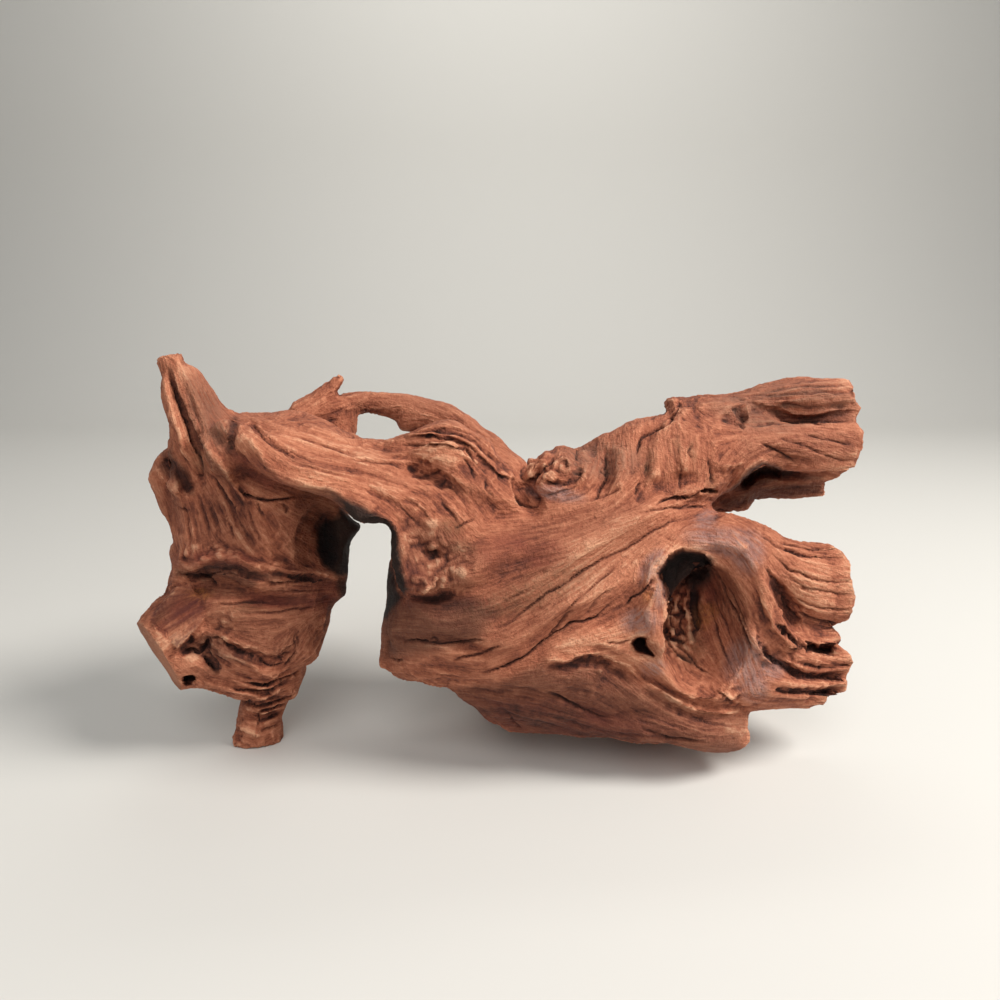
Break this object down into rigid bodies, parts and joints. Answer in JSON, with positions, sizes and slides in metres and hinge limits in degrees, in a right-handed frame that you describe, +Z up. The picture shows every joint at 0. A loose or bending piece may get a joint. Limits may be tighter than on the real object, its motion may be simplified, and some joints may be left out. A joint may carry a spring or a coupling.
{
  "type": "aquarium driftwood",
  "caption": "Twisted piece of red root wood that stands in a tank, with a spire, an archway that fish can pass, a rear loop, a knot hollow and broken stubs.",
  "frame": {"origin": "on the surface the wood stands on, under the middle of its box", "axes": "+Z up, X along the wood's length with the spire at -X and the broken stubs at +X, -Y towards the side with the knot hollow"},
  "size_m": [0.2214, 0.0902, 0.1256],
  "materials": {
    "red_root_wood": "dry, unpolished, weathered grain"
  },
  "bodies": {
    "root": {"driftwood": "red_root_wood"}
  },
  "joints": []
}
